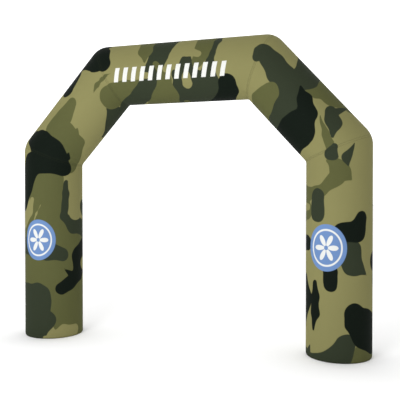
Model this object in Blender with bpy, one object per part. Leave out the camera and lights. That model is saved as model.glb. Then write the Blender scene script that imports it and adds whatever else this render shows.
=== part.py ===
"""Inflatable entrance arch: five mitred air tubes of printed cloth standing on two round floor panels.

Metres, +Z up. The origin is on the ground, midway between the legs. +X runs across the arch from the
left leg to the right one, and people walk through it along Y.
"""

import math

import bmesh
import bpy
from mathutils import Matrix, Vector

# Driving dimensions
LEG_SPACING = 5.0  # between the centrelines of the two legs
TUBE_DIAMETER = 1.006
LEG_BEND_HEIGHT = 3.195  # where a leg's centreline turns into its shoulder
BEAM_LENGTH = 2.59  # of the crossbeam's centreline, between its two bends
BEAM_HEIGHT = 4.53  # of the crossbeam's centreline

# How the cloth rounds off at a bend, measured square to the seam
OUTER_ROUNDING = 0.174  # on the outside of the bend
INNER_ROUNDING = 0.035  # in the crease on the inside of the bend
ROUNDING_RINGS = (0.12, 0.3, 0.52, 0.76, 1.0)  # shares of OUTER_ROUNDING

SEAM_GAP = 0.0003  # between two panels that are sewn together
FLOOR_THICKNESS = 0.003
FLOOR_MARGIN = 0.012  # how far the floor panel stays inside the tube's outline
FOOT_ROUNDING = 0.015  # at the edge where a leg turns under
FOOT_STEPS = 3
TUBE_SIDES = 64

# Finish
CLOTH_COLOUR = (0.135, 0.145, 0.065, 1.0)  # the print's mean green
FLOOR_COLOUR = (0.022, 0.026, 0.018, 1.0)
CLOTH_ROUGHNESS = 0.55
FLOOR_ROUGHNESS = 0.8

# Worked out from the driving dimensions
TUBE_RADIUS = TUBE_DIAMETER / 2
FOOT_HEIGHT = FLOOR_THICKNESS + SEAM_GAP
SHOULDER_RUN = LEG_SPACING / 2 - BEAM_LENGTH / 2
SHOULDER_RISE = BEAM_HEIGHT - LEG_BEND_HEIGHT
SHOULDER_LENGTH = math.hypot(SHOULDER_RUN, SHOULDER_RISE)
LEG_TURN = math.atan2(SHOULDER_RUN, SHOULDER_RISE)  # from upright to the shoulder's slant
BEAM_TURN = math.pi / 2 - LEG_TURN  # from the shoulder's slant to level
MITRE_REACH = 2 * TUBE_RADIUS  # spare length that a mitre is cut from


def clear_scene():
    for obj in list(bpy.data.objects):
        bpy.data.objects.remove(obj, do_unlink=True)


def cloth(name, colour, roughness):
    material = bpy.data.materials.new(name)
    material.use_nodes = True
    shader = material.node_tree.nodes["Principled BSDF"]
    shader.inputs["Base Color"].default_value = colour
    shader.inputs["Roughness"].default_value = roughness
    shader.inputs["Metallic"].default_value = 0.0
    material.diffuse_color = colour
    return material


def cut(mesh, point, normal, keep_below=False):
    """Adds a ring of edges where a plane crosses the mesh, or ends the mesh there and caps it."""
    found = bmesh.ops.bisect_plane(
        mesh,
        geom=mesh.verts[:] + mesh.edges[:] + mesh.faces[:],
        dist=1e-6,
        plane_co=point,
        plane_no=normal,
        clear_outer=keep_below,
    )
    if keep_below:
        rim = [item for item in found["geom_cut"] if isinstance(item, bmesh.types.BMEdge)]
        bmesh.ops.contextual_create(mesh, geom=rim)


def mitre(mesh, height, turn, way):
    """Ends a tube that runs along Z at a mitre plane and rounds the bend there.

    The tube bends towards +X by the angle turn. way is 1 at the tube's far end and -1 at its near one.
    """
    half = turn / 2
    corner = Vector((0.0, 0.0, height))
    beyond = Vector((math.sin(half), 0.0, way * math.cos(half)))  # out of the tube, square to the plane
    outwards = Vector((-math.cos(half), 0.0, way * math.sin(half)))  # in the plane, to the outer side
    for share in ROUNDING_RINGS:
        cut(mesh, corner - beyond * share * OUTER_ROUNDING, beyond)
    cut(mesh, corner - beyond * SEAM_GAP / 2, beyond, keep_below=True)
    for vertex in mesh.verts:
        depth = (corner - vertex.co).dot(beyond)
        outer_share = 0.5 - 0.5 * vertex.co.x / math.hypot(vertex.co.x, vertex.co.y)
        reach = INNER_ROUNDING + (OUTER_ROUNDING - INNER_ROUNDING) * outer_share
        if depth < reach:
            vertex.co -= outwards * math.tan(half) * (reach - depth) ** 2 / (2 * reach)


def tube(name, length, near_turn, far_turn):
    """An air tube's mesh along +Z from its near bend to its far one, both bending towards +X.

    A near turn of 0 is a foot: flat, with its edge rounded under.
    """
    mesh = bmesh.new()
    near_spare = MITRE_REACH if near_turn else 0.0
    whole = length + near_spare + MITRE_REACH
    bmesh.ops.create_cone(
        mesh,
        cap_ends=True,
        segments=TUBE_SIDES,
        radius1=TUBE_RADIUS,
        radius2=TUBE_RADIUS,
        depth=whole,
        matrix=Matrix.Translation((0.0, 0.0, whole / 2 - near_spare)),
    )
    mitre(mesh, length, far_turn, 1)
    if near_turn:
        mitre(mesh, 0.0, near_turn, -1)
    else:
        foot = [edge for edge in mesh.edges if all(abs(end.co.z) < 1e-6 for end in edge.verts)]
        bmesh.ops.bevel(
            mesh,
            geom=foot,
            offset=FOOT_ROUNDING,
            offset_type="OFFSET",
            segments=FOOT_STEPS,
            profile=0.5,
            affect="EDGES",
            material=-1,
        )
    return finished(mesh, name)


def floor_panel(name):
    mesh = bmesh.new()
    radius = TUBE_RADIUS - FLOOR_MARGIN
    bmesh.ops.create_cone(
        mesh,
        cap_ends=True,
        segments=TUBE_SIDES,
        radius1=radius,
        radius2=radius,
        depth=FLOOR_THICKNESS,
        matrix=Matrix.Translation((0.0, 0.0, FLOOR_THICKNESS / 2)),
    )
    return finished(mesh, name)


def finished(mesh, name):
    """Turns the faces outwards, shades the round walls smooth and keeps the rims sharp."""
    bmesh.ops.recalc_face_normals(mesh, faces=mesh.faces[:])
    data = bpy.data.meshes.new(name)
    mesh.to_mesh(data)
    mesh.free()
    data.shade_smooth()
    data.set_sharp_from_angle(angle=math.radians(35))
    return data


def place(name, data, collection, parent, location, tilt, material):
    """Adds an object whose own +Z is tilted from upright towards its half's +X."""
    obj = bpy.data.objects.new(name, data)
    obj.data.materials.append(material)
    obj.location = location
    obj.rotation_euler = (0.0, tilt, 0.0)
    obj.parent = parent
    collection.objects.link(obj)
    return obj


def frame_empty(name, collection, turn):
    empty = bpy.data.objects.new(name, None)
    empty.rotation_euler = (0.0, 0.0, turn)
    collection.objects.link(empty)
    return empty


def build():
    clear_scene()
    collection = bpy.data.collections.new("inflatable_arch")
    bpy.context.scene.collection.children.link(collection)

    # Each half is modelled as the left one, and the right half is turned about the upright axis.
    foot = (-LEG_SPACING / 2, 0.0, FOOT_HEIGHT)
    bend = (-LEG_SPACING / 2, 0.0, LEG_BEND_HEIGHT)
    ground = (-LEG_SPACING / 2, 0.0, 0.0)
    for side, turn in (("left", 0.0), ("right", math.pi)):
        half = frame_empty(f"{side}_half", collection, turn)
        leg = tube(f"leg_{side}", LEG_BEND_HEIGHT - FOOT_HEIGHT, 0.0, LEG_TURN)
        shoulder = tube(f"shoulder_{side}", SHOULDER_LENGTH, LEG_TURN, BEAM_TURN)
        base = floor_panel(f"base_{side}")
        leg_cloth = cloth(f"leg_{side}_cloth", CLOTH_COLOUR, CLOTH_ROUGHNESS)
        shoulder_cloth = cloth(f"shoulder_{side}_cloth", CLOTH_COLOUR, CLOTH_ROUGHNESS)
        base_cloth = cloth(f"base_{side}_cloth", FLOOR_COLOUR, FLOOR_ROUGHNESS)
        place(leg.name, leg, collection, half, foot, 0.0, leg_cloth)
        place(shoulder.name, shoulder, collection, half, bend, LEG_TURN, shoulder_cloth)
        place(base.name, base, collection, half, ground, 0.0, base_cloth)

    beam = tube("crossbeam", BEAM_LENGTH, BEAM_TURN, BEAM_TURN)
    beam_cloth = cloth("crossbeam_cloth", CLOTH_COLOUR, CLOTH_ROUGHNESS)
    left_end = (-BEAM_LENGTH / 2, 0.0, BEAM_HEIGHT)
    place(beam.name, beam, collection, None, left_end, math.pi / 2, beam_cloth)


build()
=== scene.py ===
import math

import bmesh
import bpy
import numpy as np
from mathutils import Matrix, Vector


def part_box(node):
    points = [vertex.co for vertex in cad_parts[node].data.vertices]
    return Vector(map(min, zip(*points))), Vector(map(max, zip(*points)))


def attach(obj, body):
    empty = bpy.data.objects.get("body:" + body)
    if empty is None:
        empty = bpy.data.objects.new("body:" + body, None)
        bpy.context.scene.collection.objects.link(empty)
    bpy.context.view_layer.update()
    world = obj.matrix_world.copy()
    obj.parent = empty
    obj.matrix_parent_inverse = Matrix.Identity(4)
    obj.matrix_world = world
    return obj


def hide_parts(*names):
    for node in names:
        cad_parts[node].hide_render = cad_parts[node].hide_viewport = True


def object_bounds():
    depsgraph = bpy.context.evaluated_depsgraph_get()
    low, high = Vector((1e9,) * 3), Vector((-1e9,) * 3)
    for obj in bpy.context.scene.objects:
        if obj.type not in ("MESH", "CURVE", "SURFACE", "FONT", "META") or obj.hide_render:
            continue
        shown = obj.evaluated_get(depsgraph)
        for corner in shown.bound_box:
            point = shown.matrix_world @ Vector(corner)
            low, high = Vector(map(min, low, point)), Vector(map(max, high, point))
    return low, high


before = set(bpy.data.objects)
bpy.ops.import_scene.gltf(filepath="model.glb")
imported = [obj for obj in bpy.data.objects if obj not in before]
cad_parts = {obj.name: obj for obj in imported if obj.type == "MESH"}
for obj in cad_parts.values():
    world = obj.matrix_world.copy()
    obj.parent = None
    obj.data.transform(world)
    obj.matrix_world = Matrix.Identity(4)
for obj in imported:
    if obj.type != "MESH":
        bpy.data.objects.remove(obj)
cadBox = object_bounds()
print("frame loaded:", ", ".join(sorted(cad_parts)))

# The arch, in metres. Width, height and tube size come from the frame.
arch = {
    "legBendHeight": 3.195,  # where a leg's centreline turns into its shoulder
    "beamLength": 2.59,  # crossbeam's centreline, between its two bends
    "outerRounding": 0.135,  # how far the cloth rounds off on the outside of a bend
    "innerRounding": 0.035,  # and in the crease on the inside
    "seamGap": 0.0003,  # between two panels that are sewn together
}
tubeRadius = (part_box("leg_left")[1].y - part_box("leg_left")[0].y) / 2
legOffset = cadBox[1][0] - tubeRadius
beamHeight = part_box("crossbeam")[1].z - tubeRadius
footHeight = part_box("leg_left")[0].z
beamEnd = arch["beamLength"] / 2

# The centreline, over the arch from the left foot to the right one.
route = [
    Vector((-legOffset, 0, footHeight)),
    Vector((-legOffset, 0, arch["legBendHeight"])),
    Vector((-beamEnd, 0, beamHeight)),
    Vector((beamEnd, 0, beamHeight)),
    Vector((legOffset, 0, arch["legBendHeight"])),
    Vector((legOffset, 0, footHeight)),
]

# Each panel: the CAD node it stands for, where it starts on the route and how many rings of faces it has.
panels = {
    "leftLegPanel": {"node": "leg_left", "start": 0, "rings": 180},
    "leftShoulderPanel": {"node": "shoulder_left", "start": 1, "rings": 110},
    "crossbeamPanel": {"node": "crossbeam", "start": 2, "rings": 150},
    "rightShoulderPanel": {"node": "shoulder_right", "start": 3, "rings": 110},
    "rightLegPanel": {"node": "leg_right", "start": 4, "rings": 180},
}
frontWay = Vector((0, -1, 0))


def panelFrame(start):
    begin = route[start]
    along = (route[start + 1] - begin).normalized()
    outward = Vector((-along.z, 0, along.x))  # away from the walkway
    return begin, along, outward


def panelLength(start):
    return (route[start + 1] - route[start]).length


def turnAt(point):
    # angle of the bend at a point of the route, or nothing at a foot
    if point in (0, len(route) - 1):
        return 0.0
    return (route[point] - route[point - 1]).angle(route[point + 1] - route[point])


# ---- inflated panels

tube = {
    "sides": 192,
    "ringCrowding": 0.5,  # 0 spaces the rings evenly, towards 1 crowds them at the seams
    "footRounding": 0.015,
    "footSteps": 5,
    "seamDip": 0.0022,  # how deep the cloth draws in at a seam
    "seamDipReach": 0.014,
    "puckerDepth": 0.0016,
    "puckerReach": 0.05,
    "puckerCount": 30,
    "puckerSway": 2.1,  # how unevenly they are spaced
    "puckerUnevenness": 0.4,  # and how much their depth changes round the tube
    "sharpAngle": 50,
}


def ringShares(count, length, footNear, footFar):
    # where the rings of faces lie, as shares of the panel's length
    shares = []
    for step in range(count + 1):
        share = step / count
        shares.append(share - tube["ringCrowding"] * math.sin(2 * math.pi * share) / (2 * math.pi))
    for step in range(1, tube["footSteps"] + 1):
        rise = tube["footRounding"] * (1 - math.cos(math.pi / 2 * step / tube["footSteps"])) / length
        if footNear:
            shares.append(rise)
        if footFar:
            shares.append(1 - rise)
    return sorted(set(round(share, 6) for share in shares))


def mitreShift(x, turn):
    # how much further the cloth reaches at x than the centreline does, on the outside of a bend
    return -x * math.tan(turn / 2)


def roundBend(vertex, height, turn, way):
    # rounds the cloth off near a seam plane, and returns how far the vertex lies from that plane
    half = turn / 2
    beyond = Vector((math.sin(half), 0, way * math.cos(half)))
    outwards = Vector((-math.cos(half), 0, way * math.sin(half)))
    depth = (Vector((0, 0, height)) - vertex.co).dot(beyond)
    outerShare = 0.5 - 0.5 * vertex.co.x / math.hypot(vertex.co.x, vertex.co.y)
    reach = arch["innerRounding"] + (arch["outerRounding"] - arch["innerRounding"]) * outerShare
    if depth < reach:
        vertex.co -= outwards * math.tan(half) * (reach - depth) ** 2 / (2 * reach)
    return depth


def roundFoot(vertex, rise):
    # turns the cloth under at the edge of a foot
    corner = tube["footRounding"]
    if rise >= corner:
        return
    shrink = corner - math.sqrt(max(0, corner**2 - (corner - rise) ** 2))
    scale = 1 - shrink / tubeRadius
    vertex.co.x *= scale
    vertex.co.y *= scale


def drawIn(vertex, depth, seed):
    # the small dip and puckers beside a seam
    angle = math.atan2(vertex.co.y, vertex.co.x)
    swing = math.sin(tube["puckerCount"] * angle + tube["puckerSway"] * math.sin(3 * angle + seed) + seed)
    unevenness = tube["puckerUnevenness"]
    uneven = 1 - unevenness + unevenness * math.sin(5 * angle + 1.7 * seed)
    inwards = tube["puckerDepth"] * uneven * (0.5 + 0.5 * swing) * math.exp(-depth / tube["puckerReach"])
    inwards += tube["seamDip"] * max(0, 1 - depth / tube["seamDipReach"]) ** 2
    scale = 1 - inwards / tubeRadius
    vertex.co.x *= scale
    vertex.co.y *= scale


def grownTube(length, shares):
    # a closed straight tube, grown ring by ring
    bm = bmesh.new()
    bmesh.ops.create_circle(bm, cap_ends=False, segments=tube["sides"], radius=tubeRadius)
    edges = bm.edges[:]
    for low, high in zip(shares, shares[1:]):
        grown = bmesh.ops.extrude_edge_only(bm, edges=edges)["geom"]
        ring = [item for item in grown if isinstance(item, bmesh.types.BMVert)]
        bmesh.ops.translate(bm, verts=ring, vec=(0, 0, (high - low) * length))
        ringSet = set(ring)
        edges = [
            item
            for item in grown
            if isinstance(item, bmesh.types.BMEdge) and all(end in ringSet for end in item.verts)
        ]
    bmesh.ops.holes_fill(bm, edges=[edge for edge in bm.edges if edge.is_boundary], sides=0)
    return bm


def linkedPiece(name, bm):
    mesh = bpy.data.meshes.new(name)
    bm.to_mesh(mesh)
    bm.free()
    piece = bpy.data.objects.new(name, mesh)
    bpy.context.scene.collection.objects.link(piece)
    return piece


def smoothen(piece, sharpAngle):
    piece.data.shade_smooth()
    piece.data.set_sharp_from_angle(angle=math.radians(sharpAngle))


def inflatedPanel(name, start, rings):
    length = panelLength(start)
    nearTurn = turnAt(start)
    farTurn = turnAt(start + 1)
    footNear = nearTurn == 0
    footFar = farTurn == 0
    bm = grownTube(length, ringShares(rings, length, footNear, footFar))

    # the mitres, then the rounding of bends and feet
    nearGap = 0 if footNear else arch["seamGap"] / 2 / math.cos(nearTurn / 2)
    farGap = 0 if footFar else arch["seamGap"] / 2 / math.cos(farTurn / 2)
    for vertex in bm.verts:
        share = vertex.co.z / length
        low = nearGap - mitreShift(vertex.co.x, nearTurn)
        high = length - farGap + mitreShift(vertex.co.x, farTurn)
        vertex.co.z = low + share * (high - low)
    for vertex in bm.verts:
        height = vertex.co.z
        if footNear:
            roundFoot(vertex, height)
            drawIn(vertex, max(height - tube["footRounding"], 0), start + 1.0)
        else:
            depth = roundBend(vertex, 0, nearTurn, -1)
            drawIn(vertex, depth, start + 1.0)
        if footFar:
            roundFoot(vertex, length - height)
            drawIn(vertex, max(length - height - tube["footRounding"], 0), start + 2.0)
        else:
            depth = roundBend(vertex, length, farTurn, 1)
            drawIn(vertex, depth, start + 2.0)
    bmesh.ops.recalc_face_normals(bm, faces=bm.faces[:])

    # and into its place over the arch
    begin, along, outward = panelFrame(start)
    inward = -outward
    sideways = along.cross(inward)
    place = Matrix((inward, sideways, along)).transposed().to_4x4()
    place.translation = begin
    bmesh.ops.transform(bm, matrix=place, verts=bm.verts[:])
    piece = linkedPiece(name, bm)
    smoothen(piece, tube["sharpAngle"])
    return piece


# ---- camouflage print

# The strokes are painted in this order. Each is a panel, a colour, and rounds of cloth
# joined into a blotch. A round is (metres along the panel, degrees from the front outwards, radius).
# The panels run over the arch from the left foot, so the right leg is measured from its top down.
camouflage = {
    "edgeSoftness": 0.004,
    "wobble": 0.01,  # how much a blotch's outline wanders
    "quickShare": 0.6,  # of the quicker waves in that, against the slow ones
    "blend": 0.05,  # how softly the rounds of one blotch join
    "reach": 0.2,  # how far from its outline a blotch is still measured
}
strokes = [
    # the back, where the print is the same kind of camouflage in a layout of its own
    ("leftLegPanel", "olive", (2.8, 110, 0.3), (2.5, 150, 0.35), (2.1, 190, 0.4), (1.9, 225, 0.3)),
    ("leftLegPanel", "green", (3.0, 200, 0.25), (2.75, 225, 0.3), (2.5, 245, 0.2)),
    ("leftLegPanel", "green", (2.0, 95, 0.15), (1.8, 125, 0.25), (1.7, 155, 0.15)),
    ("leftLegPanel", "black", (2.5, 120, 0.15), (2.2, 150, 0.2), (2.05, 180, 0.12)),
    ("leftLegPanel", "olive", (1.4, 100, 0.25), (1.1, 140, 0.35), (0.8, 180, 0.35), (0.7, 215, 0.25)),
    ("leftLegPanel", "black", (1.55, 195, 0.15), (1.35, 215, 0.25), (1.2, 240, 0.15)),
    ("leftLegPanel", "olive", (0.1, 110, 0.25), (0.0, 140, 0.2)),
    ("leftLegPanel", "green", (0.9, 115, 0.12), (0.6, 145, 0.25), (0.4, 190, 0.3), (0.6, 225, 0.15)),
    ("leftLegPanel", "black", (0.1, 215, 0.2), (0.15, 240, 0.2)),
    ("leftShoulderPanel", "olive", (0.25, 115, 0.25), (0.5, 160, 0.32), (0.4, 205, 0.3), (0.2, 240, 0.2)),
    ("leftShoulderPanel", "green", (0.7, 95, 0.12), (0.9, 125, 0.22), (0.85, 155, 0.12)),
    ("leftShoulderPanel", "black", (0.9, 210, 0.18), (1.1, 180, 0.22), (1.25, 150, 0.15)),
    ("leftShoulderPanel", "olive", (1.4, 110, 0.2), (1.65, 130, 0.22), (1.8, 160, 0.15)),
    ("leftShoulderPanel", "green", (1.5, 230, 0.25), (1.6, 190, 0.28), (1.5, 160, 0.1)),
    ("crossbeamPanel", "green", (0.2, 120, 0.18), (0.35, 160, 0.26), (0.3, 210, 0.25), (0.4, 245, 0.2)),
    ("crossbeamPanel", "olive", (0.75, 110, 0.18), (0.85, 150, 0.25), (0.9, 190, 0.3), (0.75, 230, 0.2)),
    ("crossbeamPanel", "black", (1.25, 130, 0.12), (1.35, 165, 0.22), (1.3, 205, 0.15)),
    ("crossbeamPanel", "green", (1.65, 160, 0.1), (1.7, 190, 0.22), (1.8, 225, 0.28), (1.7, 255, 0.2)),
    ("crossbeamPanel", "olive", (1.85, 115, 0.2), (2.05, 155, 0.28), (2.3, 185, 0.22)),
    ("crossbeamPanel", "black", (2.25, 220, 0.2), (2.45, 190, 0.14)),
    ("rightShoulderPanel", "olive", (0.15, 135, 0.25), (0.35, 185, 0.28), (0.3, 225, 0.2)),
    ("rightShoulderPanel", "green", (0.6, 110, 0.2), (0.8, 160, 0.3), (0.7, 210, 0.25)),
    ("rightShoulderPanel", "black", (1.15, 205, 0.22), (1.35, 165, 0.2), (1.3, 125, 0.12)),
    ("rightShoulderPanel", "olive", (1.5, 235, 0.25), (1.7, 190, 0.25), (1.75, 145, 0.18)),
    ("rightLegPanel", "olive", (0.25, 105, 0.2), (0.4, 145, 0.3), (0.3, 190, 0.28), (0.4, 230, 0.2)),
    ("rightLegPanel", "green", (0.85, 105, 0.18), (1.0, 155, 0.28), (0.9, 205, 0.25), (1.05, 240, 0.15)),
    ("rightLegPanel", "black", (1.35, 210, 0.22), (1.6, 170, 0.18), (1.5, 130, 0.14)),
    ("rightLegPanel", "olive", (1.95, 100, 0.2), (2.0, 150, 0.32), (2.2, 195, 0.36), (2.1, 235, 0.22)),
    ("rightLegPanel", "black", (2.6, 130, 0.15), (2.65, 165, 0.2)),
    ("rightLegPanel", "olive", (2.6, 240, 0.2), (2.8, 255, 0.15)),
    ("rightLegPanel", "green", (2.85, 210, 0.3), (3.1, 160, 0.3), (3.0, 115, 0.18)),
    # the front and sides
    ("leftLegPanel", "olive", (2.7, -15, 0.3), (2.2, -15, 0.35), (1.6, -5, 0.5), (1.1, 10, 0.5)),
    ("leftLegPanel", "olive", (1.7, 35, 0.35), (1.2, 50, 0.4)),
    ("leftLegPanel", "olive", (1.75, -60, 0.25), (1.7, -100, 0.3)),
    ("leftLegPanel", "olive", (1.2, -50, 0.3), (0.7, -70, 0.4), (0.4, -90, 0.4)),
    ("leftLegPanel", "olive", (0.5, -45, 0.3), (0.2, -55, 0.2)),
    ("leftLegPanel", "green", (2.7, -55, 0.04), (2.5, -55, 0.06), (2.1, -50, 0.06),
     (1.95, -75, 0.15), (1.85, -115, 0.15)),
    ("leftLegPanel", "khaki", (2.8, -100, 0.35), (2.5, -95, 0.25), (2.2, -80, 0.18)),
    ("leftLegPanel", "green", (2.25, -110, 0.15)),
    ("leftLegPanel", "green", (1.45, -45, 0.12), (1.5, -20, 0.15), (1.6, 40, 0.15)),
    ("leftLegPanel", "green", (0.4, 0, 0.2), (0.7, 5, 0.25), (0.65, 50, 0.3)),
    ("leftLegPanel", "green", (0.3, -10, 0.2), (0.2, 20, 0.35), (0.2, 70, 0.4)),
    ("leftLegPanel", "khaki", (0.1, -35, 0.04), (0.15, -50, 0.08), (0.1, -75, 0.1)),
    ("leftLegPanel", "khaki", (0.0, -70, 0.1), (0.0, -50, 0.08), (0.0, -15, 0.05)),
    ("leftLegPanel", "khaki", (2.3, -5, 0.01), (2.15, 5, 0.015), (1.95, 15, 0.01)),
    ("leftLegPanel", "khaki", (2.4, 15, 0.05), (2.2, 25, 0.08), (2.0, 45, 0.1)),
    ("leftLegPanel", "black", (1.5, -110, 0.2), (1.4, -85, 0.15), (1.1, -90, 0.15),
     (0.95, -65, 0.12), (0.85, -45, 0.1)),
    ("leftLegPanel", "black", (1.1, -65, 0.05), (1.2, -50, 0.01)),
    ("leftLegPanel", "khaki", (1.25, -110, 0.12)),
    ("leftLegPanel", "black", (3.0, -45, 0.2), (3.1, -10, 0.25), (3.0, 20, 0.2), (2.7, 40, 0.25),
     (2.4, 50, 0.2)),
    ("leftShoulderPanel", "olive", (1.05, 10, 0.1), (0.8, 5, 0.15), (0.5, 0, 0.2)),
    ("leftShoulderPanel", "olive", (0.6, -15, 0.2), (0.55, -45, 0.15), (0.2, -60, 0.2)),
    ("leftShoulderPanel", "olive", (0.7, -35, 0.06), (0.8, -30, 0.01)),
    ("leftShoulderPanel", "black", (0.05, -55, 0.15), (0.15, -20, 0.25), (0.15, 10, 0.22), (0.1, 35, 0.15)),
    ("leftShoulderPanel", "black", (0.25, -50, 0.06), (0.35, -45, 0.01)),
    ("leftShoulderPanel", "khaki", (-0.1, 30, 0.05), (-0.1, 55, 0.1)),
    ("leftShoulderPanel", "green", (1.4, -60, 0.1), (1.25, -95, 0.25), (0.9, -95, 0.06)),
    ("leftShoulderPanel", "olive", (1.55, -50, 0.2), (1.65, -40, 0.15)),
    ("leftShoulderPanel", "olive", (1.35, -15, 0.005), (1.55, -10, 0.03), (1.7, -10, 0.025),
     (1.85, -20, 0.005)),
    ("leftShoulderPanel", "black", (1.8, 20, 0.15), (1.85, 60, 0.4)),
    ("leftShoulderPanel", "black", (1.15, 45, 0.15), (1.35, 60, 0.22)),
    ("crossbeamPanel", "black", (0.0, 15, 0.15), (-0.05, 40, 0.15)),
    ("crossbeamPanel", "olive", (-0.05, -15, 0.025), (0.05, -10, 0.015), (0.2, -5, 0.005)),
    ("crossbeamPanel", "olive", (0.1, -50, 0.22), (0.35, -40, 0.18), (0.6, -30, 0.08)),
    ("crossbeamPanel", "green", (1.3, -15, 0.1), (1.5, -40, 0.3), (1.5, -85, 0.4)),
    ("crossbeamPanel", "green", (1.5, -40, 0.3), (1.75, -55, 0.3)),
    ("crossbeamPanel", "green", (1.45, 10, 0.1), (1.45, -15, 0.15)),
    ("crossbeamPanel", "olive", (1.05, -25, 0.15), (1.0, -55, 0.25), (0.9, -100, 0.3)),
    ("crossbeamPanel", "green", (0.3, -90, 0.2), (0.6, -55, 0.15), (0.8, -25, 0.13),
     (0.9, -5, 0.13), (1.0, 25, 0.17)),
    ("crossbeamPanel", "green", (1.0, 25, 0.17), (1.05, 50, 0.2), (1.05, 90, 0.25)),
    ("crossbeamPanel", "olive", (0.95, 5, 0.05), (1.05, -15, 0.06)),
    ("crossbeamPanel", "khaki", (0.65, -15, 0.06), (0.8, -15, 0.05)),
    ("crossbeamPanel", "olive", (0.75, 10, 0.02), (0.75, 35, 0.12), (0.7, 80, 0.15)),
    ("crossbeamPanel", "olive", (1.35, -85, 0.06)),
    ("crossbeamPanel", "olive", (1.65, 5, 0.1), (1.75, 25, 0.15), (1.75, 80, 0.2)),
    ("crossbeamPanel", "green", (1.8, -30, 0.2), (1.85, 0, 0.06), (1.9, 20, 0.04),
     (1.95, 50, 0.05), (1.95, 90, 0.06)),
    ("crossbeamPanel", "khaki", (1.45, -5, 0.02), (1.45, -20, 0.06), (1.45, -35, 0.08)),
    ("crossbeamPanel", "khaki", (1.3, -10, 0.01), (1.25, 10, 0.1), (1.35, 35, 0.12),
     (1.5, 25, 0.08), (1.65, 20, 0.06)),
    ("crossbeamPanel", "khaki", (1.35, 35, 0.12), (1.4, 90, 0.15)),
    ("crossbeamPanel", "black", (2.1, -35, 0.15), (2.1, -55, 0.15), (1.95, -90, 0.2)),
    ("crossbeamPanel", "green", (2.65, 15, 0.1), (2.6, 5, 0.08)),
    ("rightShoulderPanel", "olive", (0.95, 40, 0.15), (0.95, 60, 0.2), (1.15, 60, 0.2), (1.25, 85, 0.3)),
    ("rightShoulderPanel", "green", (0.0, 20, 0.15), (0.2, 20, 0.18), (0.4, 15, 0.2), (0.65, 10, 0.25)),
    ("rightShoulderPanel", "green", (0.6, 25, 0.15), (0.7, 45, 0.2), (0.55, 90, 0.25)),
    ("rightShoulderPanel", "green", (0.7, 5, 0.25), (0.85, -20, 0.25), (0.85, -85, 0.2)),
    ("rightShoulderPanel", "olive", (0.5, -20, 0.15), (0.5, -50, 0.2), (0.55, -90, 0.2)),
    ("rightShoulderPanel", "green", (1.35, 35, 0.1), (1.5, 25, 0.12), (1.65, 5, 0.02)),
    ("rightShoulderPanel", "green", (1.4, 45, 0.06), (1.45, 75, 0.01)),
    ("rightShoulderPanel", "olive", (1.3, 15, 0.01), (1.55, 0, 0.05), (1.75, -10, 0.08)),
    ("rightShoulderPanel", "black", (0.75, 25, 0.02), (0.95, 15, 0.1), (1.15, 0, 0.15),
     (1.2, -30, 0.28), (1.2, -70, 0.28)),
    ("rightLegPanel", "olive", (0.2, -10, 0.08), (0.35, 5, 0.15), (0.5, 25, 0.01)),
    ("rightLegPanel", "olive", (0.45, 0, 0.12), (0.65, -25, 0.08), (0.7, -60, 0.1), (0.7, -90, 0.2)),
    ("rightLegPanel", "olive", (0.95, -65, 0.15), (0.95, -90, 0.2)),
    ("rightLegPanel", "khaki", (0.9, -60, 0.05), (0.9, -85, 0.08)),
    ("rightLegPanel", "green", (0.75, -35, 0.13), (1.0, -35, 0.13)),
    ("rightLegPanel", "green", (0.0, -5, 0.05), (0.1, -10, 0.11)),
    ("rightLegPanel", "green", (-0.05, 30, 0.005), (0.15, 15, 0.07), (0.3, 20, 0.01)),
    ("rightLegPanel", "green", (1.55, 20, 0.2), (1.75, 30, 0.15), (1.9, 55, 0.01)),
    ("rightLegPanel", "black", (1.05, 45, 0.1), (1.25, 35, 0.15), (1.25, 10, 0.15)),
    ("rightLegPanel", "black", (1.45, -65, 0.12), (1.45, -100, 0.12)),
    ("rightLegPanel", "black", (1.85, -10, 0.12), (2.05, -10, 0.1)),
    ("rightLegPanel", "black", (2.0, -75, 0.08), (2.3, -75, 0.22), (2.7, -85, 0.1)),
    ("rightLegPanel", "black", (2.05, -40, 0.05), (2.25, -40, 0.08), (2.5, -40, 0.08), (2.75, -45, 0.02)),
    ("rightLegPanel", "olive", (3.0, 45, 0.12), (3.15, 35, 0.15), (3.15, 70, 0.18)),
    ("rightLegPanel", "green", (2.9, 15, 0.15), (3.1, 5, 0.18), (3.2, -40, 0.08), (3.2, -85, 0.15)),
    ("rightLegPanel", "green", (3.1, -60, 0.06), (3.0, -55, 0.01)),
    ("rightLegPanel", "black", (2.45, 30, 0.15), (2.55, 35, 0.2), (2.7, 55, 0.3), (2.8, 80, 0.3)),
    ("rightLegPanel", "black", (1.7, 85, 0.15)),
]
printColours = ("olive", "green", "black")


def clothPoint(panel, metres, degrees):
    begin, along, outward = panelFrame(panels[panel]["start"])
    angle = math.radians(degrees)
    return begin + along * metres + tubeRadius * (math.cos(angle) * frontWay + math.sin(angle) * outward)


def blotches():
    # the strokes as rounds in space
    found = []
    for panel, ink, *rounds in strokes:
        found.append((ink, [(clothPoint(panel, metres, degrees), r) for metres, degrees, r in rounds]))
    return found


def chainDistance(points, chain):
    # distance from each point to a chain of rounds, negative inside
    if len(chain) == 1:
        centre, radius = chain[0]
        return np.linalg.norm(points - np.array(centre), axis=1) - radius
    found = None
    blend = camouflage["blend"]
    for (begin, r0), (end, r1) in zip(chain, chain[1:]):
        a = np.array(begin)
        span = np.array(end) - a
        share = np.clip((points - a) @ span / (span @ span), 0, 1)
        gap = np.linalg.norm(points - a - share[:, None] * span, axis=1) - (r0 + share * (r1 - r0))
        if found is None:
            found = gap
        else:
            mix = np.maximum(blend - np.abs(found - gap), 0) / blend
            found = np.minimum(found, gap) - mix * mix * blend / 4
    return found


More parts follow.
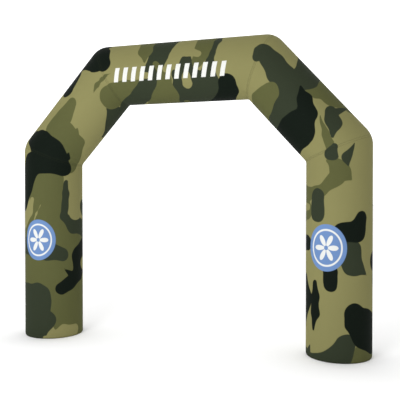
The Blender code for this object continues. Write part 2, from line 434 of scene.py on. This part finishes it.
def wandering(points):
    # moves the points a little, so that the outlines of the blotches wander
    x, y, z = points.T
    quick = camouflage["quickShare"]
    shift = np.stack(
        [
            np.sin(9 * y + 5 * z) + quick * np.sin(21 * z - 13 * x),
            np.sin(8 * z - 6 * x) + quick * np.sin(19 * x + 11 * z),
            np.sin(7 * x + 9 * y) + quick * np.sin(23 * x - 12 * y),
        ],
        axis=1,
    )
    return points + camouflage["wobble"] * shift


def vertexPoints(mesh):
    points = np.empty(len(mesh.vertices) * 3)
    mesh.vertices.foreach_get("co", points)
    return points.reshape(-1, 3)


def printCamouflage(piece):
    # each ink's distance to its own outline goes into an attribute, negative inside
    mesh = piece.data
    points = wandering(vertexPoints(mesh))
    reach = camouflage["reach"]
    fields = {ink: np.full(len(points), reach) for ink in printColours}
    for painted, chain in allBlotches:
        gap = chainDistance(points, chain)
        for ink in printColours:
            if ink == painted:
                fields[ink] = np.minimum(fields[ink], gap)
            else:
                fields[ink] = np.maximum(fields[ink], -gap)
    for ink, field in fields.items():
        layer = mesh.attributes.new(ink, "FLOAT", "POINT")
        layer.data.foreach_set("value", np.clip(field, -reach, reach).astype(np.float32))


def unroll(piece, start):
    # a map in metres: u round the tube from the front, v along the panel
    begin, along, outward = panelFrame(start)
    mesh = piece.data
    layer = mesh.uv_layers.new(name="Unrolled")
    for face in mesh.polygons:
        middle = face.center - begin
        middleAngle = math.atan2(middle.dot(outward), middle.dot(frontWay))
        for loop in face.loop_indices:
            offset = mesh.vertices[mesh.loops[loop].vertex_index].co - begin
            angle = math.atan2(offset.dot(outward), offset.dot(frontWay))
            if angle - middleAngle > math.pi:
                angle -= 2 * math.pi
            elif middleAngle - angle > math.pi:
                angle += 2 * math.pi
            layer.data[loop].uv = (tubeRadius * angle, offset.dot(along))


def measureSeams(piece, start):
    # how far each vertex lies from the nearest seam, across the tube or along its back
    mesh = piece.data
    points = vertexPoints(mesh)
    begin, _, outward = panelFrame(start)
    offsets = points - np.array(begin)
    angles = np.arctan2(offsets @ np.array(outward), offsets @ np.array(frontWay))
    nearest = tubeRadius * (math.pi - np.abs(angles))
    for point in (start, start + 1):
        if point in (0, len(route) - 1):
            normal = Vector((0, 0, 1))
        else:
            before = (route[point] - route[point - 1]).normalized()
            normal = (before + (route[point + 1] - route[point]).normalized()).normalized()
        nearest = np.minimum(nearest, np.abs((points - np.array(route[point])) @ np.array(normal)))
    layer = mesh.attributes.new("seam", "FLOAT", "POINT")
    layer.data.foreach_set("value", nearest.astype(np.float32))


# ---- shader expressions


class Wire:
    # one output socket, so that shader maths reads as an expression
    def __init__(self, finish, socket):
        self.finish = finish
        self.socket = socket

    def maths(self, operation, *others, turned=False, clamped=False):
        values = (self, *others)[::-1] if turned else (self, *others)
        settings = {"operation": operation, "use_clamp": clamped}
        return self.finish.node("Math", settings, dict(enumerate(values)))

    def __add__(self, other):
        return self.maths("ADD", other)

    def __radd__(self, other):
        return self.maths("ADD", other, turned=True)

    def __sub__(self, other):
        return self.maths("SUBTRACT", other)

    def __rsub__(self, other):
        return self.maths("SUBTRACT", other, turned=True)

    def __mul__(self, other):
        return self.maths("MULTIPLY", other)

    def __rmul__(self, other):
        return self.maths("MULTIPLY", other, turned=True)

    def __truediv__(self, other):
        return self.maths("DIVIDE", other)

    def __pow__(self, other):
        return self.maths("POWER", other)

    def __mod__(self, other):
        return self.maths("FLOORED_MODULO", other)

    def __abs__(self):
        return self.maths("ABSOLUTE")

    def below(self, level, softness):
        # 1 where the value is under the level, 0 where it is over, with a soft edge
        return ((level + softness - self) / (2 * softness)).maths("ADD", 0.0, clamped=True)


class Finish:
    # the nodes of a material or a world, all added by one method
    def __init__(self, owner, shader="Principled BSDF"):
        owner.use_nodes = True
        self.owner = owner
        self.tree = owner.node_tree
        self.shader = self.tree.nodes[shader]

    def node(self, kind, settings=None, inputs=None, output=0):
        node = self.tree.nodes.new("ShaderNode" + kind)
        for setting, value in (settings or {}).items():
            setattr(node, setting, value)
        for slot, value in (inputs or {}).items():
            self.feed(node.inputs[slot], value)
        return Wire(self, node.outputs[output])

    def feed(self, slot, value):
        if isinstance(value, Wire):
            self.tree.links.new(value.socket, slot)
        else:
            slot.default_value = value

    def mixed(self, share, first, second):
        return self.node("Mix", {"data_type": "RGBA"}, {0: share, 6: first, 7: second}, 2)

    def value(self, attribute):
        return self.node("Attribute", {"attribute_name": attribute}, None, "Fac")


def colour(red, green, blue):
    # a screen colour, 0 to 255, as the shader's linear colour
    def linear(level):
        level /= 255
        return level / 12.92 if level <= 0.04045 else ((level + 0.055) / 1.055) ** 2.4

    return (linear(red), linear(green), linear(blue), 1.0)


cloth = {
    "khaki": colour(125, 122, 80),
    "olive": colour(83, 85, 52),
    "green": colour(47, 53, 40),
    "black": colour(18, 24, 19),
    "thread": colour(44, 48, 34),
    "threadShow": 0.5,  # how much of it stands out from the print
    "roughness": 0.62,
    "roughnessDrift": 0.1,
    "specular": 0.015,
    "fading": 0.1,  # how much the print's strength drifts over the cloth
    "slackHeight": 0.004,  # slow waves in the cloth
    "weavePitch": 0.0024,
    "weaveHeight": 0.00005,
    "hemWidth": 0.024,  # doubled cloth beside a seam
    "hemHeight": 0.0004,
    "hemEdge": 0.002,
    "stitchRows": (0.011, 0.019),  # from the seam
    "stitchPitch": 0.012,
    "stitchFill": 0.66,  # how much of a row is thread
    "stitchWidth": 0.003,
    "stitchHeight": 0.0006,
    "stitchEdge": 0.0004,
    "bumpStrength": 0.6,
}
roundel = {
    "blue": colour(101, 130, 175),
    "white": colour(210, 212, 210),
    "halfWidth": 0.307,
    "halfHeight": 0.35,
    "height": 1.7,  # of its middle, above the ground
    "leftTurn": 1,  # degrees from the front, outwards
    "rightTurn": -18,
    "ring": (0.72, 0.8),  # inner and outer edge, as shares of the oval
    "petals": 6,
    "petalReach": 0.6,
    "eye": 0.1,
    "edge": 0.012,
}
beamBars = {
    "white": colour(210, 211, 207),
    "begin": 0.2,  # metres along the beam from its left bend
    "end": 2.08,
    "count": 13,
    "low": -23,  # degrees from the front
    "high": 3,
    "fill": 0.5,  # how much of the row is white
    "slant": 0.22,
    "edge": 0.003,
}


def weaveHeight(around, along):
    turns = 2 * math.pi / cloth["weavePitch"]
    return (around * turns).maths("SINE") * (along * turns).maths("SINE") * cloth["weaveHeight"]


def camouflagePrint(finish):
    # each ink's share is of what the later inks leave free, so no khaki shows where two inks meet
    shares = {ink: finish.value(ink).below(0, camouflage["edgeSoftness"]) for ink in printColours}
    base = cloth["khaki"]
    for place, ink in enumerate(printColours):
        share = shares[ink]
        laterInks = printColours[place + 1 :]
        if laterInks:
            free = 1
            for later in laterInks:
                free = free - shares[later]
            share = share / free.maths("MAXIMUM", 0.001)
        base = finish.mixed(share, base, cloth[ink])
    return base


def roundelPrint(finish, base, around, along, turn, height):
    across = (around - tubeRadius * math.radians(turn)) / roundel["halfWidth"]
    up = (along - height) / roundel["halfHeight"]
    distance = (across * across + up * up) ** 0.5
    petal = abs((up.maths("ARCTAN2", across) * (roundel["petals"] / 2)).maths("COSINE"))
    edge = roundel["edge"]
    inPetal = (distance - petal * roundel["petalReach"]).below(0, edge)
    inPetal = inPetal * (1 - distance.below(roundel["eye"], edge))
    inner, outer = roundel["ring"]
    inRing = distance.below(outer, edge) * (1 - distance.below(inner, edge))
    face = finish.mixed(inPetal.maths("MAXIMUM", inRing), roundel["blue"], roundel["white"])
    return finish.mixed(distance.below(1, edge), base, face)


def barPrint(finish, base, around, along):
    edge = beamBars["edge"]
    low = tubeRadius * math.radians(beamBars["low"])
    high = tubeRadius * math.radians(beamBars["high"])
    leaning = along - (around - low) * beamBars["slant"] - beamBars["begin"]
    length = beamBars["end"] - beamBars["begin"]
    pitch = length / (beamBars["count"] - 1 + beamBars["fill"])
    within = around.below(high, edge) * (1 - around.below(low, edge))
    within = within * leaning.below(length, edge) * (1 - leaning.below(0, edge))
    bar = (leaning % pitch).below(pitch * beamBars["fill"], edge)
    return finish.mixed(within * bar, base, beamBars["white"])


def clothFinish(name, marks=None):
    finish = Finish(bpy.data.materials.new(name))
    place = finish.node("UVMap", {"uv_map": "Unrolled"})
    around = finish.node("SeparateXYZ", None, {0: place}, "X")
    along = finish.node("SeparateXYZ", None, {0: place}, "Y")
    base = camouflagePrint(finish)
    if marks == "bars":
        base = barPrint(finish, base, around, along)
    elif marks:
        base = roundelPrint(finish, base, around, along, *marks)

    # slow fading of the print, and stitches beside the seams
    where = finish.node("TexCoord", None, None, "Object")
    drift = finish.node("TexNoise", None, {"Vector": where, "Scale": 1.6, "Detail": 3.0, "Roughness": 0.55})
    strength = drift * cloth["fading"] + (1 - cloth["fading"] / 2)
    faded = finish.node("HueSaturation", None, {"Value": strength, "Color": base})
    seam = finish.value("seam")
    first, second = cloth["stitchRows"]
    rows = abs(seam - first).maths("MINIMUM", abs(seam - second))
    dash = abs((around + along) / cloth["stitchPitch"] % 1 - 0.5)
    inRow = rows.below(cloth["stitchWidth"] / 2, cloth["stitchEdge"])
    stitch = inRow * dash.below(cloth["stitchFill"] / 2, 0.04)
    sewn = finish.mixed(stitch * cloth["threadShow"], faded, cloth["thread"])
    finish.feed(finish.shader.inputs["Base Color"], sewn)

    # and the sheen and relief of the cloth
    fine = finish.node("TexNoise", None, {"Vector": where, "Scale": 14.0, "Detail": 2.0})
    smoothest = cloth["roughness"] - cloth["roughnessDrift"] / 2
    finish.feed(finish.shader.inputs["Roughness"], fine * cloth["roughnessDrift"] + smoothest)
    hem = seam.below(cloth["hemWidth"], cloth["hemEdge"])
    height = weaveHeight(around, along) + stitch * cloth["stitchHeight"]
    height = height + hem * cloth["hemHeight"] + drift * cloth["slackHeight"]
    bump = finish.node("Bump", None, {"Strength": cloth["bumpStrength"], "Distance": 1.0, "Height": height})
    finish.feed(finish.shader.inputs["Normal"], bump)
    finish.shader.inputs["Specular IOR Level"].default_value = cloth["specular"]
    return finish.owner


# ---- build the panels

allBlotches = blotches()
marksOn = {
    "leftLegPanel": (roundel["leftTurn"], roundel["height"]),
    "rightLegPanel": (roundel["rightTurn"], arch["legBendHeight"] - roundel["height"]),
    "crossbeamPanel": "bars",
}
for name, panel in panels.items():
    piece = inflatedPanel(name, panel["start"], panel["rings"])
    printCamouflage(piece)
    unroll(piece, panel["start"])
    measureSeams(piece, panel["start"])
    piece.data.materials.append(clothFinish(name + "Cloth", marksOn.get(name)))
    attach(piece, "root")
    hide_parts(panel["node"])
    print(name, "ready:", len(piece.data.polygons), "faces")


# ---- floor panels under the legs

floorPanel = {
    "colour": colour(44, 48, 38),
    "dust": colour(84, 80, 66),
    "roughness": 0.65,
    "roughnessDrift": 0.2,
    "weaveScale": 420.0,
    "weaveHeight": 0.0004,
    "hemWidth": 0.03,
    "hemSlope": 0.004,  # over which the cloth drops from the hem
    "hemDrop": 0.0004,
    "rimRounding": 0.0009,
    "sharpAngle": 40,
    "segments": 128,
}


def floorPanelPiece(name, node):
    low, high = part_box(node)
    centre = (low + high) / 2
    radius = (high.x - low.x) / 2
    bm = bmesh.new()
    bmesh.ops.create_cone(
        bm,
        cap_ends=True,
        segments=floorPanel["segments"],
        radius1=radius,
        radius2=radius,
        depth=high.z - low.z,
        matrix=Matrix.Translation(centre),
    )
    rims = [edge for edge in bm.edges if abs(edge.verts[0].co.z - edge.verts[1].co.z) < 1e-6]
    bmesh.ops.bevel(
        bm,
        geom=rims,
        offset=floorPanel["rimRounding"],
        offset_type="OFFSET",
        segments=3,
        profile=0.5,
        affect="EDGES",
        material=-1,
    )
    caps = [face for face in bm.faces if len(face.verts) > 4]
    for width in (floorPanel["hemWidth"], floorPanel["hemSlope"]):
        bmesh.ops.inset_region(bm, faces=caps, thickness=width, use_even_offset=True)
        caps = [face for face in bm.faces if len(face.verts) > 4]
    for cap in caps:
        inwards = floorPanel["hemDrop"] if cap.normal.z < 0 else -floorPanel["hemDrop"]
        bmesh.ops.translate(bm, verts=cap.verts[:], vec=(0, 0, inwards))
    bmesh.ops.recalc_face_normals(bm, faces=bm.faces[:])
    piece = linkedPiece(name, bm)
    smoothen(piece, floorPanel["sharpAngle"])
    return piece


def floorCloth():
    finish = Finish(bpy.data.materials.new("floorPanelCloth"))
    where = finish.node("TexCoord", None, None, "Object")
    scuff = finish.node("TexNoise", None, {"Vector": where, "Scale": 9.0, "Detail": 5.0, "Roughness": 0.6})
    dusty = finish.mixed(scuff, floorPanel["colour"], floorPanel["dust"])
    finish.feed(finish.shader.inputs["Base Color"], dusty)
    rough = scuff * floorPanel["roughnessDrift"] + floorPanel["roughness"]
    finish.feed(finish.shader.inputs["Roughness"], rough)
    cell = {"Vector": where, "Scale": floorPanel["weaveScale"]}
    weave = finish.node("TexVoronoi", {"distance": "CHEBYCHEV"}, cell)
    relief = {"Strength": 0.3, "Distance": floorPanel["weaveHeight"], "Height": weave}
    bump = finish.node("Bump", None, relief)
    finish.feed(finish.shader.inputs["Normal"], bump)
    return finish.owner


floorMaterial = floorCloth()
for name, node in (("leftFloorPanel", "base_left"), ("rightFloorPanel", "base_right")):
    piece = floorPanelPiece(name, node)
    piece.data.materials.append(floorMaterial)
    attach(piece, "root")
    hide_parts(node)
print("floor panels ready")


# ---- ground, light and camera

ground = {"size": 240.0, "colour": (0.97, 0.97, 0.97, 1.0), "roughness": 0.9}
light = {
    "backdrop": 1.62,  # brightness of the studio behind the arch
    "backTurn": 20.0,  # degrees to the left of straight ahead, where it is brightest
    "room": 0.5,  # and opposite that
    "gradient": 0.8,  # how fast the one passes into the other
    "wall": 1.5,  # of the studio's wall as the camera sees it
    "keyPlace": (-1.5, -10.0, 4.5),
    "keyAim": (0.0, 0.0, 2.0),
    "keySize": 4.0,
    "keyPower": 580.0,
}
view = {
    "place": (3.074, -9.207, 2.52),
    "heading": 17.06,  # degrees to the left of straight ahead
    "tilt": -0.75,
    "lens": 52.16,
    "farthest": 500,
}


def layGround():
    bm = bmesh.new()
    bmesh.ops.create_grid(bm, x_segments=1, y_segments=1, size=ground["size"] / 2)
    piece = linkedPiece("ground", bm)
    finish = Finish(bpy.data.materials.new("groundPaper"))
    finish.shader.inputs["Base Color"].default_value = ground["colour"]
    finish.shader.inputs["Roughness"].default_value = ground["roughness"]
    finish.shader.inputs["Specular IOR Level"].default_value = 0.0
    piece.data.materials.append(finish.owner)


def hangLights():
    # a white studio that lights the arch more from behind than from in front
    sky = Finish(bpy.data.worlds.new("studioSky"), "Background")
    turn = math.radians(light["backTurn"])
    backWay = (-math.sin(turn), math.cos(turn), 0)
    ways = {0: sky.node("TexCoord"), 1: backWay}
    towardsBack = sky.node("VectorMath", {"operation": "DOT_PRODUCT"}, ways, "Value")
    behind = (towardsBack * light["gradient"] + 0.5).maths("ADD", 0.0, clamped=True)
    sky.shader.inputs["Color"].default_value = (1.0, 1.0, 1.0, 1.0)
    lit = behind * (light["backdrop"] - light["room"]) + light["room"]
    seen = sky.node("LightPath")  # what the camera sees of it is as white from every side
    sky.feed(sky.shader.inputs["Strength"], seen * light["wall"] + (1 - seen) * lit)
    bpy.context.scene.world = sky.owner
    lamp = bpy.data.lights.new("keyLight", "AREA")
    lamp.energy = light["keyPower"]
    lamp.size = light["keySize"]
    key = bpy.data.objects.new("keyLight", lamp)
    place = Vector(light["keyPlace"])
    key.location = place
    key.rotation_euler = (Vector(light["keyAim"]) - place).to_track_quat("-Z", "Y").to_euler()
    bpy.context.scene.collection.objects.link(key)


def setCamera():
    camera = bpy.data.cameras.new("camera")
    camera.lens = view["lens"]
    camera.clip_end = view["farthest"]
    holder = bpy.data.objects.new("camera", camera)
    holder.location = view["place"]
    holder.rotation_euler = (math.radians(90 + view["tilt"]), 0, math.radians(view["heading"]))
    bpy.context.scene.collection.objects.link(holder)
    bpy.context.scene.camera = holder


layGround()
hangLights()
setCamera()
bpy.context.scene.view_settings.view_transform = "Standard"
print("ground, light and camera ready")
